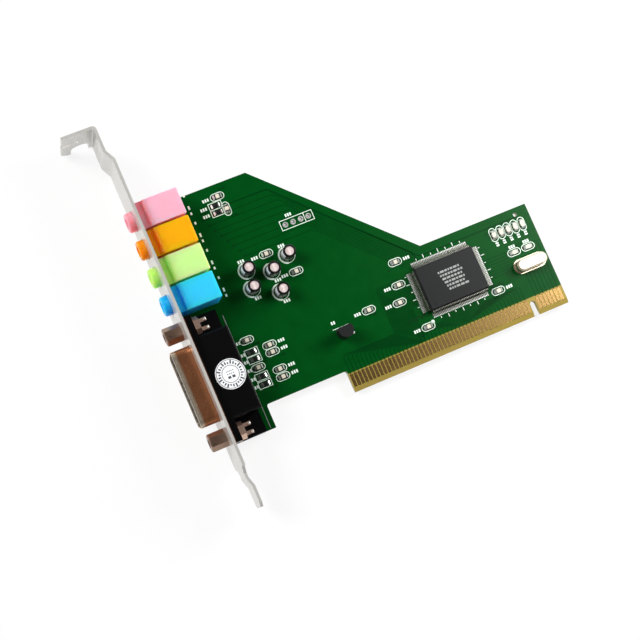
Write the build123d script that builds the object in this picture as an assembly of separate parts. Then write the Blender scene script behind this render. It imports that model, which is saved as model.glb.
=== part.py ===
from build123d import *
import os

# PCI sound card in millimetres. X runs from the bracket's outer face towards the tail of the board,
# Y up the card from the tip of the edge contacts, Z out of the component side, which is Z = 0.

# Mounting bracket
sheet = 0.86
bracket_width = 18.42
bracket_below = 3.0
bracket_top = 99.9
bracket_length = 120.02
tab_reach = 11.43
bend_radius = 0.9
top_offset = 1.6
top_offset_height = 8.4
top_slope_height = 3.0
tongue_length = 12.7
tongue_width = 10.19
tongue_taper = 2.0
tongue_offset = 0.85
tongue_end_height = 6.4
tongue_slope_height = 2.8
tongue_tip_chamfer = 1.5
screw_notch_width = 5.6
screw_notch_x = -5.6
screw_notch_depth = 6.4
tab_slit_width = 1.9
tab_slit_length = 5.2
tab_slit_from_edge = 7.0
tab_corner_chamfer = 2.0
cutout_clearance = 0.25

# Circuit board
board_thickness = 1.57
board_gap = 0.6
board_port_overhang = 0.1
board_top = 74.3
board_right = 115.5
step_x = 15.8
tongue_margin = 0.84
tongue_height = 6.95
tongue_corner_radius = 0.8
tail_top = 33.6
tail_step_length = 36.6
apex_x = 37.7
contact_bevel = 0.5
contact_bevel_height = 1.6
key_width = 1.93
key_depth = 4.7
hole_clearance = 0.1
tooling_hole_radius = 0.65
tooling_hole_from_tail = 4.4
tooling_hole_y = 31.5
header_centre = (46.6, 54.9)
header_pitch = 2.54
header_pins = 4
header_hole_radius = 0.5

# Edge contacts
contact_pitch = 1.27
contact_width = 0.97
contact_length = 4.4
contact_setback = 0.45
contact_thickness = 0.05
last_contact_from_tail = 1.44
left_contacts = 48
key_positions = 2
right_contacts = 7

# Audio jacks
jack_colours = ["pink", "orange", "green", "blue"]
jack_width = 8.2
jack_pitch = 8.95
jack_first_y = 71.3
jack_length = 13.85
jack_height = 11.0
jack_shelf_length = 2.7
jack_shelf_drop = 0.9
jack_edge = 0.25
jack_axis_z = 5.6
nose_radius = 3.0
nose_reach = 2.2
nose_edge = 0.4
jack_bore_radius = 1.8
jack_bore_depth = 14.0
terminal_width = 1.0
terminal_thickness = 0.4
terminal_inset = 1.2
terminal_places = [(3.0, 0.0), (6.2, 2.6), (6.2, -2.6), (11.6, 2.6), (11.6, -2.6)]
tail_length = 0.75

# Game port
port_gap = 1.72
port_z = 6.3
flange_length = 39.14
screw_inset = 2.91
flange_width = 12.55
flange_thickness = 0.6
shell_length = 24.66
shell_height = 7.9
shell_reach = 5.8
shell_wall = 0.45
shell_corner = 2.2
shell_slope = 10
insulator_setback = 0.35
pin_pitch = 2.77
pin_rows_apart = 2.84
pin_hole_radius = 0.55
pin_hole_depth = 5.0
upper_row_pins = 8
lower_row_pins = 7
strip_depth = 2.0
block_depth = 8.8
ear_length = 6.72
block_height = 12.5
block_edge = 0.5
ear_gap = 0.2
port_tail_width = 0.6
port_tail_inset = 3.0
port_tail_row_x = 7.2

# Ground straps that hold the port to the board
strap_thickness = 0.5
strap_width = 6.0
strap_height = 5.4
strap_leg_width = 1.1
strap_leg_spacing = 2.6
strap_leg_length = 5.2
strap_nut_across = 4.76
strap_nut_length = 1.8

# Jackscrews
screw_across = 4.76
screw_length = 5.2
screw_chamfer = 0.3
stud_radius = 1.4
stud_length = 5.8
screw_hole_radius = 1.25
screw_hole_depth = 4.5

# Sticker on the port
sticker_radius = 4.5
sticker_thickness = 0.1
sticker_x = 7.6
sticker_drop = 0.76

# Electrolytic capacitors
capacitor_places = [(26.25, 46.2), (39.5, 46.2), (33.3, 43.3), (25.6, 40.5), (33.3, 36.5)]
can_radius = 1.85
can_height = 5.2
can_edge = 0.3
sleeve_wall = 0.15
sleeve_lip = 0.5
bung_height = 0.4
capacitor_lead_width = 0.45
capacitor_lead_spacing = 1.5

# Sound chip
chip_from_tail = 32.3
chip_y = 20.5
chip_length = 20.0
chip_width = 14.0
chip_height = 2.7
chip_standoff = 0.3
chip_draft = 0.35
chip_mark_radius = 0.6
chip_mark_inset = 1.6
chip_mark_depth = 0.1
lead_pitch = 0.5
lead_width = 0.22
lead_thickness = 0.15
lead_span = 1.6
lead_foot = 0.7
long_side_lead_count = 38
short_side_lead_count = 26

# Crystal
crystal_from_tail = 6.6
crystal_y = 15.8
crystal_base_length = 11.05
crystal_base_width = 4.65
crystal_base_height = 0.6
crystal_can_length = 10.2
crystal_can_width = 3.8
crystal_can_height = 3.5
crystal_can_edge = 0.5
crystal_lead_width = 0.43
crystal_lead_spacing = 4.88

# Voltage regulator
regulator_x = 45.8
regulator_y = 18.0
regulator_radius = 2.3
regulator_flat = 1.3
regulator_height = 4.6
regulator_standoff = 1.2
regulator_pitch = 1.27
regulator_lead_width = 0.42

# Chip capacitors and resistors
chip_part_length = 2.0
chip_part_width = 1.2
chip_part_end = 0.45
chip_capacitor_height = 0.8
chip_resistor_height = 0.5
tail_row_from_tail = 13.55
tail_row_pitch = 2.49
tail_row_y = 28.1
tail_row_count = 5
tail_pair_y = 20.75
tail_pair_from_tail = 7.25
tail_pair_spacing = 4.9
column_x = 17.9
column_capacitor_ys = [26.8, 18.0]
column_resistor_ys = [23.0, 20.7, 15.2, 12.7]
second_column_x = 23.7
second_column_ys = column_resistor_ys
corner_resistor_x = 25.3
corner_resistor_ys = [68.1, 65.9]
corner_capacitor = (26.9, 70.5)
corner_upright_capacitor = (28.15, 66.0)
filter_capacitors = [(33.7, 48.8), (40.1, 40.5)]

# Chip capacitors round the sound chip: steps along X from its centre, and heights up the board
chip_side_capacitors = [
    (12.8, 11.6), (-13.7, 31.8), (-15.6, 24.9), (-17.5, 19.8), (-27.3, 21.3), (-12.25, 9.7),
]

# Turns of the chip parts about Z
lying = 0
upright = 90

# Places worked out from the sizes
bracket_low_z = -bracket_below
bracket_high_z = bracket_low_z + bracket_width
bracket_tip = bracket_top - bracket_length
shoulder_y = bracket_tip + tongue_length
tongue_offset_end = bracket_tip + tongue_end_height
tongue_offset_start = tongue_offset_end + tongue_slope_height
top_offset_end = bracket_top - top_offset_height
top_offset_start = top_offset_end - top_slope_height
bracket_mid_z = (bracket_low_z + bracket_high_z) / 2
board_left = sheet + board_gap
board_low_z = -board_thickness
tail_end_z = board_low_z - tail_length
jack_places = [(name, jack_first_y - jack_pitch * i) for i, name in enumerate(jack_colours)]
port_top = jack_places[-1][1] - jack_width / 2 - port_gap
port_bottom = port_top - flange_length
port_y = (port_top + port_bottom) / 2
block_length = flange_length - 2 * ear_length
screw_places = [port_top - screw_inset, port_bottom + screw_inset]
sticker_y = port_y - sticker_drop
board_bottom = port_bottom + board_port_overhang
flange_back = sheet + flange_thickness
strip_back = flange_back + strip_depth
ear_height = port_z - strap_nut_across / 2 - ear_gap
block_back = strip_back + block_depth
contact_positions = left_contacts + key_positions + right_contacts
first_contact_x = board_right - last_contact_from_tail - contact_pitch * (contact_positions - 1)
tongue_x = first_contact_x - tongue_margin
tail_corner_x = board_right - tail_step_length
chip_x = board_right - chip_from_tail
crystal_x = board_right - crystal_from_tail
key_x = first_contact_x + contact_pitch * (left_contacts + key_positions / 2 - 0.5)

tail_row_x = board_right - tail_row_from_tail
tail_row = [(tail_row_x + tail_row_pitch * i, tail_row_y, upright) for i in range(tail_row_count)]
tail_pair_x = board_right - tail_pair_from_tail
tail_pair = [(tail_pair_x + side * tail_pair_spacing / 2, tail_pair_y, lying) for side in (-1, 1)]
chip_capacitor_places = tail_row + tail_pair
chip_capacitor_places += [(chip_x + step, y, lying) for step, y in chip_side_capacitors]
chip_capacitor_places += [(*corner_capacitor, lying), (*corner_upright_capacitor, upright)]
chip_capacitor_places += [(x, y, lying) for x, y in filter_capacitors]
chip_capacitor_places += [(column_x, y, lying) for y in column_capacitor_ys]
chip_capacitor_places += [(second_column_x, y, lying) for y in second_column_ys]
chip_resistor_places = [(corner_resistor_x, y, lying) for y in corner_resistor_ys]
chip_resistor_places += [(column_x, y, lying) for y in column_resistor_ys]


def block(x0, x1, y0, y1, z0, z1):
    """A box between two corners."""
    centre = ((x0 + x1) / 2, (y0 + y1) / 2, (z0 + z1) / 2)
    return Pos(*centre) * Box(x1 - x0, y1 - y0, z1 - z0)


def along_x(x0, x1, y, z, radius):
    """A round bar from x0 to x1."""
    return Pos((x0 + x1) / 2, y, z) * Rot(0, 90, 0) * Cylinder(radius, x1 - x0)


def along_z(x, y, z0, z1, radius):
    """A round bar from z0 to z1."""
    return Pos(x, y, (z0 + z1) / 2) * Cylinder(radius, z1 - z0)


def hex_bar(x0, x1, y, across):
    """A hexagonal bar from x0 to x1 at the port's height, with flats towards +Z and -Z."""
    hexagon = RegularPolygon(across / 2, 6, major_radius=False, rotation=30)
    return extrude(Pos(x0, y, port_z) * Rot(0, 90, 0) * hexagon, amount=x1 - x0, dir=(1, 0, 0))


def square_pin(x, y, z0, z1, width_x, width_y):
    """A flat pin standing from z0 to z1."""
    return block(x - width_x / 2, x + width_x / 2, y - width_y / 2, y + width_y / 2, z0, z1)


def d_section(length, height, corner, x):
    """A D-shaped face across X, its long side towards +Z."""
    face = Trapezoid(length, height, 90 - shell_slope, rotation=180)
    face = fillet(face.vertices(), corner)
    across = Plane(origin=(x, port_y, port_z), x_dir=(0, -1, 0), z_dir=(-1, 0, 0))
    return across * face


def d_prism(length, height, corner, x0, x1):
    """A D-shaped bar from x0 back to x1."""
    return extrude(d_section(length, height, corner, x0), amount=x1 - x0, dir=(1, 0, 0))


def terminal_spots():
    """Where the jack terminals go through the board."""
    return [(sheet + dx, y + dy) for name, y in jack_places for dx, dy in terminal_places]


def port_tail_spots():
    """Where the port's contact tails go through the board."""
    spots = []
    for row, count in enumerate([lower_row_pins, upper_row_pins]):
        x = port_tail_row_x + pin_rows_apart * row
        spots += [(x, port_y + pin_pitch * (i - (count - 1) / 2)) for i in range(count)]
    return spots


def strap_leg_spots():
    """Where the straps' legs go through the board."""
    x = strip_back + strap_leg_length - strap_thickness / 2
    half = strap_leg_spacing / 2
    return [(x, y + side) for y in screw_places for side in (-half, half)]


def capacitor_lead_spots():
    """Where the capacitors' leads go through the board."""
    half = capacitor_lead_spacing / 2
    return [(x + side, y) for x, y in capacitor_places for side in (-half, half)]


def crystal_lead_spots():
    """Where the crystal's leads go through the board."""
    half = crystal_lead_spacing / 2
    return [(crystal_x - half, crystal_y), (crystal_x + half, crystal_y)]


def regulator_lead_spots():
    """Where the regulator's leads go through the board."""
    return [(regulator_x + regulator_pitch * i, regulator_y) for i in (-1, 0, 1)]


def header_spots():
    """The holes of the header that isn't fitted."""
    x, y = header_centre
    return [(x + header_pitch * (i - (header_pins - 1) / 2), y) for i in range(header_pins)]


def bracket():
    """One folded sheet: tab, offset top, plate with its cut-outs, and the joggled tongue."""
    mid = sheet / 2
    fold = FilletPolyline(
        (-tab_reach, bracket_top - mid),
        (mid - top_offset, bracket_top - mid),
        (mid - top_offset, top_offset_end),
        (mid, top_offset_start),
        (mid, tongue_offset_start),
        (mid + tongue_offset, tongue_offset_end),
        (mid + tongue_offset, bracket_tip),
        radius=bend_radius)
    profile = Pos(0, 0, bracket_low_z) * trace(fold, line_width=sheet)
    body = extrude(profile, amount=bracket_width, dir=(0, 0, 1))
    body -= bracket_tongue_waste()
    body -= tab_waste()
    for name, y in jack_places:
        body -= along_x(-sheet, 2 * sheet, y, jack_axis_z, nose_radius + cutout_clearance)
    gap = 2 * cutout_clearance
    corner = shell_corner + cutout_clearance
    body -= d_prism(shell_length + gap, shell_height + gap, corner, -sheet, 2 * sheet)
    for y in screw_places:
        body -= along_x(-sheet, 2 * sheet, y, port_z, stud_radius + cutout_clearance)
    return body


def bracket_tongue_waste():
    """What is cut away beside the tongue at the bottom of the bracket."""
    half = tongue_width / 2
    low = bracket_tip - sheet
    reach = bracket_width
    waste = []
    for side in (-1, 1):
        outline = Polyline(
            (side * reach, shoulder_y),
            (side * (half + tongue_taper), shoulder_y),
            (side * half, shoulder_y - tongue_taper),
            (side * half, bracket_tip + tongue_tip_chamfer),
            (side * (half - tongue_tip_chamfer), bracket_tip),
            (side * (half - tongue_tip_chamfer), low),
            (side * reach, low),
            close=True)
        across = Plane(origin=(-tab_reach, 0, bracket_mid_z), x_dir=(0, 0, 1), z_dir=(-1, 0, 0))
        waste.append(extrude(across * make_face(outline), amount=2 * tab_reach, dir=(1, 0, 0)))
    return waste


def tab_waste():
    """The screw notch, the slit and the cut corner of the tab."""
    y0 = bracket_top - 2 * sheet
    y1 = bracket_top + sheet
    round_z = bracket_low_z + screw_notch_depth - screw_notch_width / 2
    half = screw_notch_width / 2
    notch_mouth = block(screw_notch_x - half, screw_notch_x + half, y0, y1, bracket_low_z - sheet, round_z)
    turn = Pos(screw_notch_x, (y0 + y1) / 2, round_z) * Rot(90, 0, 0)
    notch_end = turn * Cylinder(half, y1 - y0)
    slit_z = bracket_high_z - tab_slit_from_edge
    slit = block(-tab_reach - sheet, tab_slit_length - tab_reach, y0, y1, slit_z - tab_slit_width, slit_z)
    corner = Polyline(
        (-tab_reach, bracket_low_z),
        (tab_corner_chamfer - tab_reach, bracket_low_z),
        (-tab_reach, bracket_low_z + tab_corner_chamfer),
        close=True)
    level = Plane(origin=(0, y0, 0), x_dir=(1, 0, 0), z_dir=(0, -1, 0))
    cut_corner = extrude(level * make_face(corner), amount=y1 - y0, dir=(0, 1, 0))
    return [notch_mouth, notch_end, slit, cut_corner]


def board_outline():
    """The board's stepped and slanted outline, with the key notch in the contact edge."""
    outline = make_face(Polyline(
        (board_left, board_bottom),
        (step_x, board_bottom),
        (step_x, tongue_height),
        (tongue_x, tongue_height),
        (tongue_x, 0),
        (board_right, 0),
        (board_right, tail_top),
        (tail_corner_x, tail_top),
        (apex_x, board_top),
        (board_left, board_top),
        close=True))
    inner = [v for v in outline.vertices() if abs(v.Y - tongue_height) < contact_thickness]
    outline = fillet(inner, tongue_corner_radius)
    key_round = key_depth - key_width / 2
    outline -= Pos(key_x, key_round / 2) * Rectangle(key_width, key_round)
    outline -= Pos(key_x, key_round) * Circle(key_width / 2)
    return outline


def circuit_board():
    """The board with its bevelled contact edge and all its holes."""
    holes = [Pos(x, y) * Circle(header_hole_radius) for x, y in header_spots()]
    holes.append(Pos(board_right - tooling_hole_from_tail, tooling_hole_y) * Circle(tooling_hole_radius))
    flat_pins = [(spot, terminal_thickness, terminal_width) for spot in terminal_spots()]
    flat_pins += [(spot, port_tail_width, port_tail_width) for spot in port_tail_spots()]
    flat_pins += [(spot, strap_thickness, strap_leg_width) for spot in strap_leg_spots()]
    flat_pins += [(spot, regulator_lead_width, regulator_lead_width) for spot in regulator_lead_spots()]
    flat_pins += [(spot, capacitor_lead_width, capacitor_lead_width) for spot in capacitor_lead_spots()]
    flat_pins += [(spot, crystal_lead_width, crystal_lead_width) for spot in crystal_lead_spots()]
    gap = 2 * hole_clearance
    holes += [Pos(*spot) * Rectangle(wide + gap, deep + gap) for spot, wide, deep in flat_pins]
    board = extrude(board_outline() - holes, amount=-board_thickness)
    for face_z, inward in ((0, -1), (board_low_z, 1)):
        bevel = make_face(Polyline(
            (0, face_z),
            (contact_bevel_height, face_z),
            (0, face_z + inward * contact_bevel),
            close=True))
        across = Plane(origin=(tongue_x, 0, 0), x_dir=(0, 1, 0), z_dir=(1, 0, 0))
        board -= extrude(across * bevel, amount=board_right - tongue_x, dir=(1, 0, 0))
    return board


def edge_contacts(z0):
    """One side's gold contacts, with the key's places left out."""
    key = range(left_contacts, left_contacts + key_positions)
    y0 = contact_bevel_height + contact_setback - contact_bevel
    y1 = y0 + contact_length - contact_setback
    half = contact_width / 2
    pads = []
    for i in range(contact_positions):
        if i not in key:
            x = first_contact_x + contact_pitch * i
            pads.append(block(x - half, x + half, y0, y1, z0, z0 + contact_thickness))
    return pads


def jack_housing(y):
    """One jack: a box with a low shelf behind the bracket, and a bored nose through it."""
    back = sheet + jack_length
    shelf_z = jack_height - jack_shelf_drop
    shelf_x = sheet + jack_shelf_length
    ramp_x = shelf_x + jack_shelf_drop
    side = make_face(Line((sheet, 0), (back, 0))
                     + Line((back, 0), (back, jack_height))
                     + Line((back, jack_height), (ramp_x, jack_height))
                     + RadiusArc((ramp_x, jack_height), (shelf_x, shelf_z), -jack_shelf_drop)
                     + Line((shelf_x, shelf_z), (sheet, shelf_z))
                     + Line((sheet, shelf_z), (sheet, 0)))
    across = Plane(origin=(0, y + jack_width / 2, 0), x_dir=(1, 0, 0), z_dir=(0, -1, 0))
    housing = extrude(across * side, amount=jack_width)
    housing = chamfer(housing.faces().sort_by(Axis.X)[-1].edges(), jack_edge)
    nose = along_x(-nose_reach, sheet, y, jack_axis_z, nose_radius)
    nose = chamfer(nose.edges().sort_by(Axis.X)[0], nose_edge)
    housing += nose
    housing -= along_x(-nose_reach, jack_bore_depth - nose_reach, y, jack_axis_z, jack_bore_radius)
    for dx, dy in terminal_places:
        housing -= square_pin(sheet + dx, y + dy, 0, terminal_inset, terminal_thickness, terminal_width)
    return housing


def jack_terminals():
    """Flat pins from the jacks through the board."""
    return [square_pin(x, y, tail_end_z, terminal_inset, terminal_thickness, terminal_width)
            for x, y in terminal_spots()]


def port_shell():
    """Pressed flange and D-shaped tube."""
    half = flange_length / 2
    rise = flange_width / 2
    shell = block(sheet, flange_back, port_y - half, port_y + half, port_z - rise, port_z + rise)
    shell += d_prism(shell_length, shell_height, shell_corner, -shell_reach, flange_back)
    wall = 2 * shell_wall
    corner = shell_corner - shell_wall
    shell -= d_prism(shell_length - wall, shell_height - wall, corner, -shell_reach, flange_back)
    for y in screw_places:
        shell -= along_x(sheet, flange_back, y, port_z, stud_radius + cutout_clearance)
    return shell


def port_insulator():
    """The block inside the shell, with its two rows of contact holes."""
    wall = 2 * shell_wall
    front = insulator_setback - shell_reach
    core = d_prism(shell_length - wall, shell_height - wall, shell_corner - shell_wall, front, flange_back)
    for count, side in ((upper_row_pins, 1), (lower_row_pins, -1)):
        z = port_z + side * pin_rows_apart / 2
        for i in range(count):
            y = port_y + pin_pitch * (i - (count - 1) / 2)
            core -= along_x(front, front + pin_hole_depth, y, z, pin_hole_radius)
    return core


def port_body():
    """Black rear moulding: a strip against the flange, the main block and a low shelf at each end."""
    half = flange_length / 2
    body = block(flange_back, strip_back, port_y - half, port_y + half, 0, block_height)
    body += block(strip_back, block_back, port_y - half, port_y + half, 0, ear_height)
    half_block = block_length / 2
    main = block(strip_back, block_back, port_y - half_block, port_y + half_block, 0, block_height)
    top_edges = main.faces().sort_by(Axis.Z)[-1].edges().filter_by(Axis.X)
    back_edge = main.faces().sort_by(Axis.Z)[-1].edges().filter_by(Axis.Y).sort_by(Axis.X)[-1]
    body += chamfer(top_edges + [back_edge], block_edge)
    for y in screw_places:
        body -= along_x(flange_back, strip_back, y, port_z, stud_radius + cutout_clearance)
    for x, y in port_tail_spots():
        body -= square_pin(x, y, 0, port_tail_inset, port_tail_width, port_tail_width)
    gap = 2 * hole_clearance
    for x, y in strap_leg_spots():
        body -= square_pin(x, y, 0, ear_height, strap_thickness + gap, strap_leg_width + gap)
    return body


def port_contacts():
    """The contacts' tails, from inside the body through the board."""
    return [square_pin(x, y, tail_end_z, port_tail_inset, port_tail_width, port_tail_width)
            for x, y in port_tail_spots()]


def ground_strap(y):
    """A plate behind the strip with a pressed nut, and two legs bent down through the board."""
    half = strap_width / 2
    front = strip_back + strap_thickness
    top = ear_height + strap_height
    strap = block(strip_back, front, y - half, y + half, ear_height, top)
    strap += hex_bar(front, front + strap_nut_length, y, strap_nut_across)
    end = strip_back + strap_leg_length
    for side in (-strap_leg_spacing / 2, strap_leg_spacing / 2):
        leg_y0 = y + side - strap_leg_width / 2
        leg_y1 = y + side + strap_leg_width / 2
        strap += block(strip_back, end, leg_y0, leg_y1, ear_height, ear_height + strap_thickness)
        strap += block(end - strap_thickness, end, leg_y0, leg_y1, tail_end_z, ear_height)
    strap -= along_x(strip_back, front + strap_nut_length, y, port_z, stud_radius)
    return strap


def jackscrew(y):
    """Hexagonal post with a threaded hole in front and a stud through the bracket."""
    post = hex_bar(-screw_length, 0, y, screw_across)
    post = chamfer(post.faces().sort_by(Axis.X)[0].edges(), screw_chamfer)
    post += along_x(0, stud_length, y, port_z, stud_radius)
    return post - along_x(-screw_length, screw_hole_depth - screw_length, y, port_z, screw_hole_radius)


def port_sticker():
    """Round paper sticker on top of the port."""
    return along_z(sticker_x, sticker_y, block_height, block_height + sticker_thickness, sticker_radius)


def capacitor_can(x, y):
    """Drawn aluminium can with a bevelled rim."""
    can = along_z(x, y, bung_height, bung_height + can_height, can_radius)
    return chamfer(can.edges().sort_by(Axis.Z)[-1], can_edge)


def capacitor_sleeve(x, y):
    """Shrunk sleeve round the can, with a lip turned over its rim."""
    top = bung_height + can_height
    outer = along_z(x, y, bung_height, top + sleeve_wall, can_radius + sleeve_wall)
    outer = chamfer(outer.edges().sort_by(Axis.Z)[-1], can_edge)
    mouth = along_z(x, y, bung_height, top + sleeve_wall, can_radius - sleeve_lip)
    return outer - capacitor_can(x, y) - mouth


def capacitor_bungs():
    """Rubber bungs under the cans."""
    return [along_z(x, y, 0, bung_height, can_radius) for x, y in capacitor_places]


def capacitor_leads():
    """Two wires from each bung through the board."""
    return [square_pin(x, y, tail_end_z, 0, capacitor_lead_width, capacitor_lead_width)
            for x, y in capacitor_lead_spots()]


def chip_body():
    """Flat moulding with drafted sides above and below the leads, and a round mark in one corner."""
    middle = chip_standoff + chip_height / 2
    outline = Rectangle(chip_length, chip_width)
    small = Rectangle(chip_length - 2 * chip_draft, chip_width - 2 * chip_draft)
    body = None
    for end in (chip_standoff, chip_standoff + chip_height):
        half = loft([Pos(chip_x, chip_y, middle) * outline, Pos(chip_x, chip_y, end) * small])
        body = half if body is None else body + half
    top = chip_standoff + chip_height
    mark_x = chip_x - chip_length / 2 + chip_mark_inset
    mark_y = chip_y - chip_width / 2 + chip_mark_inset
    return body - along_z(mark_x, mark_y, top - chip_mark_depth, top, chip_mark_radius)


def gull_wing():
    """One lead: out of the body, down and flat on the board. It starts at the origin and runs along +X."""
    high = chip_standoff + chip_height / 2 - lead_thickness / 2
    bend = lead_span - lead_foot
    knee = bend / 2
    side = make_face(Polyline(
        (0, high),
        (knee - lead_thickness, high),
        (bend - lead_thickness, 0),
        (lead_span, 0),
        (lead_span, lead_thickness),
        (bend, lead_thickness),
        (knee, high + lead_thickness),
        (0, high + lead_thickness),
        close=True))
    across = Plane(origin=(0, lead_width / 2, 0), x_dir=(1, 0, 0), z_dir=(0, -1, 0))
    return extrude(across * side, amount=lead_width)


def chip_leads():
    """Leads on the four sides of the chip."""
    wing = gull_wing()
    sides = [(0, chip_length, short_side_lead_count), (90, chip_width, long_side_lead_count),
             (180, chip_length, short_side_lead_count), (270, chip_width, long_side_lead_count)]
    leads = []
    for angle, across, count in sides:
        for i in range(count):
            along = lead_pitch * (i - (count - 1) / 2)
            leads.append(Pos(chip_x, chip_y, 0) * Rot(0, 0, angle) * Pos(across / 2, along, 0) * wing)
    return leads


def crystal_can():
    """Drawn can with round ends and a bevelled top edge."""
    place = Pos(crystal_x, crystal_y, crystal_base_height)
    outline = place * SlotOverall(crystal_can_length, crystal_can_width)
    can = extrude(outline, amount=crystal_can_height - crystal_base_height)
    return chamfer(can.faces().sort_by(Axis.Z)[-1].edges(), crystal_can_edge)


def crystal_base():
    """Welded base with the flange that the can stands on."""
    outline = Pos(crystal_x, crystal_y) * SlotOverall(crystal_base_length, crystal_base_width)
    return extrude(outline, amount=crystal_base_height)


def crystal_leads():
    """Two wires from the base through the board."""
    return [square_pin(x, y, tail_end_z, 0, crystal_lead_width, crystal_lead_width)
            for x, y in crystal_lead_spots()]


def regulator_body():
    """Round moulding with one flat side, standing clear of the board."""
    outline = Circle(regulator_radius)
    waste_depth = regulator_radius
    outline -= Pos(0, regulator_flat + waste_depth / 2) * Rectangle(2 * regulator_radius, waste_depth)
    return extrude(Pos(regulator_x, regulator_y, regulator_standoff) * outline, amount=regulator_height)


def regulator_leads():
    """Three square leads from the moulding through the board."""
    return [square_pin(x, y, tail_end_z, regulator_standoff, regulator_lead_width, regulator_lead_width)
            for x, y in regulator_lead_spots()]


def chip_part_bodies(places, height):
    """The ceramic middles of the chip parts."""
    middle = chip_part_length - 2 * chip_part_end
    return [Pos(x, y, height / 2) * Rot(0, 0, turn) * Box(middle, chip_part_width, height)
            for x, y, turn in places]


def chip_part_ends(places, height):
    """The tinned ends of the chip parts."""
    reach = (chip_part_length - chip_part_end) / 2
    return [Pos(x, y, height / 2) * Rot(0, 0, turn) * Pos(side * reach, 0, 0)
            * Box(chip_part_end, chip_part_width, height)
            for x, y, turn in places for side in (-1, 1)]


def write(node, solids):
    """Writes one node, a solid or a group of separate solids."""
    shape = Compound(children=list(solids)) if isinstance(solids, list) else solids
    shape.label = node
    export_step(shape, "parts/" + node + ".step")


def main():
    os.makedirs("parts", exist_ok=True)
    write("bracket", bracket())
    write("circuit_board", circuit_board())
    write("edge_contacts_front", edge_contacts(0))
    write("edge_contacts_back", edge_contacts(board_low_z - contact_thickness))
    for name, y in jack_places:
        write("jack_housing_" + name, jack_housing(y))
    write("jack_terminals", jack_terminals())
    write("port_shell", port_shell())
    write("port_insulator", port_insulator())
    write("port_body", port_body())
    write("port_contacts", port_contacts())
    for name, y in zip(("upper", "lower"), screw_places):
        write("ground_strap_" + name, ground_strap(y))
    write("jackscrews", [jackscrew(y) for y in screw_places])
    write("port_sticker", port_sticker())
    for i, (x, y) in enumerate(capacitor_places, 1):
        write("capacitor_can_" + str(i), capacitor_can(x, y))
        write("capacitor_sleeve_" + str(i), capacitor_sleeve(x, y))
    write("capacitor_bungs", capacitor_bungs())
    write("capacitor_leads", capacitor_leads())
    write("chip_body", chip_body())
    write("chip_leads", chip_leads())
    write("crystal_can", crystal_can())
    write("crystal_base", crystal_base())
    write("crystal_leads", crystal_leads())
    write("regulator_body", regulator_body())
    write("regulator_leads", regulator_leads())
    write("chip_capacitor_bodies", chip_part_bodies(chip_capacitor_places, chip_capacitor_height))
    write("chip_capacitor_ends", chip_part_ends(chip_capacitor_places, chip_capacitor_height))
    write("chip_resistor_bodies", chip_part_bodies(chip_resistor_places, chip_resistor_height))
    write("chip_resistor_ends", chip_part_ends(chip_resistor_places, chip_resistor_height))


main()
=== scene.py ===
import math
import random

import bpy
from mathutils import Matrix, Vector


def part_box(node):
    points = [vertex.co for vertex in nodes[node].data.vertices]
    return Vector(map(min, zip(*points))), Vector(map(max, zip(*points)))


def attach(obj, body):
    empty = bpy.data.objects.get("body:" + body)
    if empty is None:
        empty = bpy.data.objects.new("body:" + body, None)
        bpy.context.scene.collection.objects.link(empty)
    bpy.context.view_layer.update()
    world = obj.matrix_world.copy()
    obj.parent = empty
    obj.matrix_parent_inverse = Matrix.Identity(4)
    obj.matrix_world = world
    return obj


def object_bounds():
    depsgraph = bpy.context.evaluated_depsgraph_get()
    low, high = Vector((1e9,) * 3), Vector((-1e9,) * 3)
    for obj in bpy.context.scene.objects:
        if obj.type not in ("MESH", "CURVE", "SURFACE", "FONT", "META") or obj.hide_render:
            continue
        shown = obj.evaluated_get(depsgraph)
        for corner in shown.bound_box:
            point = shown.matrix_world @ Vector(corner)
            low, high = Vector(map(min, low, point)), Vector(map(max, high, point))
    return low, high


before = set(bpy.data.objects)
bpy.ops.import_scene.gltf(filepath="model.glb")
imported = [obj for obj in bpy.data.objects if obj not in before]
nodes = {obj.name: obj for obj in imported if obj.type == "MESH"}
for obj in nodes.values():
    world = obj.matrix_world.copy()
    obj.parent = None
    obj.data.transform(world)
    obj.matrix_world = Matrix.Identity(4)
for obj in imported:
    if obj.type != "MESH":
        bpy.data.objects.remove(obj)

cad_low, cad_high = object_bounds()
SEED = 7
chance = random.Random(SEED)

MM = 0.001
FULL_TURN = 2 * math.pi

# Board, in millimetres
BOARD_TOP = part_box("circuit_board")[1].z / MM
BOARD_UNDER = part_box("circuit_board")[0].z / MM
INK_THICK = 0.05
COPPER_THICK = 0.035
PAD_THICK = 0.05
INK_TOP = BOARD_TOP + INK_THICK
COPPER_TOP = BOARD_TOP + COPPER_THICK
COPPER_UNDER = BOARD_UNDER - COPPER_THICK
PAD_TOP = BOARD_TOP + PAD_THICK
PAD_UNDER = BOARD_UNDER - PAD_THICK


# Materials

# The curve of screen colours: a straight toe, then a power
FULL_LEVEL = 255
TOE_END = 0.04045
TOE_SLOPE = 12.92
CURVE_SHIFT = 0.055
CURVE_POWER = 2.4

NOISE_DETAIL = 4.0
FLAT_NORMAL = 0.99
LEAST_ROUGHNESS = 0.02
GLOW_SHARE = 1.0


def linear(colour):
    """A screen colour, 0 to 255, as the linear colour that renders so."""
    result = []
    for value in colour:
        part = value / FULL_LEVEL
        if part <= TOE_END:
            result.append(part / TOE_SLOPE)
        else:
            result.append(((part + CURVE_SHIFT) / (1 + CURVE_SHIFT)) ** CURVE_POWER)
    return (*result, 1.0)


def scaled(colour, factor):
    """A linear colour made lighter or darker."""
    *levels, opacity = colour
    return (*[min(1.0, level * factor) for level in levels], opacity)


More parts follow.
